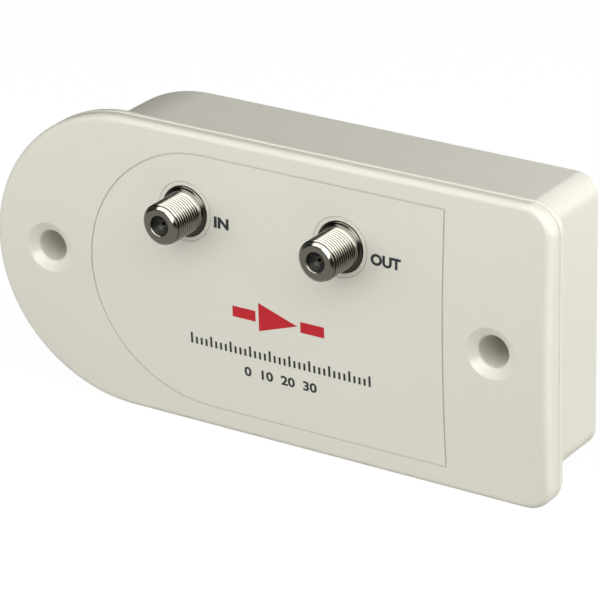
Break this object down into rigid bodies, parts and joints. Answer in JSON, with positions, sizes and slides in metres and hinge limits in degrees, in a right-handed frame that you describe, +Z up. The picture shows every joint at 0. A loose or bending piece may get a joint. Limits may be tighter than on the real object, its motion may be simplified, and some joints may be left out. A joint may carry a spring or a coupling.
{
  "type": "video signal amplifier",
  "caption": "Wall-mounted coaxial video signal amplifier: D-shaped flanged housing, crowned cover with an inlaid panel, threaded input and output ports, power inlet below.",
  "frame": {"origin": "midway between the two wall-screw holes, on the wall plane at the back of the housing", "axes": "+X along the housing towards its square end, +Y into the wall, +Z up; the front and the ports face -Y"},
  "size_m": [0.1431, 0.0399, 0.0694],
  "materials": {
    "housing_plastic": "warm off-white moulded ABS, fine satin",
    "panel_plastic": "warm off-white printed sheet, satin",
    "nickel_plate": "bright nickel plate on brass",
    "dark_dielectric": "black moulded dielectric",
    "tinned_contact": "tinned spring metal",
    "board_laminate": "green solder mask on glass laminate",
    "tinplate": "bright tinned steel sheet",
    "chip_epoxy": "black moulded epoxy",
    "ferrite": "dark sintered ferrite",
    "ceramic": "tan ceramic",
    "capacitor_sleeve": "dark blue shrink sleeve",
    "bare_aluminium": "plain extruded aluminium",
    "inlet_plastic": "black moulded socket",
    "zinc_screw": "bright zinc-plated steel"
  },
  "bodies": {
    "root": {"front_cover": "housing_plastic", "face_panel": "panel_plastic", "rear_housing": "housing_plastic", "in_port_body": "nickel_plate", "out_port_body": "nickel_plate", "in_port_dielectric": "dark_dielectric", "out_port_dielectric": "dark_dielectric", "in_port_contact": "tinned_contact", "out_port_contact": "tinned_contact", "circuit_board": "board_laminate", "shield_frame": "tinplate", "shield_lid": "tinplate", "amplifier_chip": "chip_epoxy", "input_transformer": "ferrite", "output_transformer": "ferrite", "bias_choke": "ferrite", "ceramic_capacitors": "ceramic", "chip_resistors": "chip_epoxy", "smoothing_capacitors": "capacitor_sleeve", "voltage_regulator": "chip_epoxy", "heat_sink": "bare_aluminium", "protection_diode": "chip_epoxy", "power_choke": "ferrite", "power_inlet_body": "inlet_plastic", "power_inlet_pin": "tinned_contact", "power_inlet_spring": "tinned_contact", "board_screws": "zinc_screw", "case_screws": "zinc_screw"}
  },
  "joints": []
}
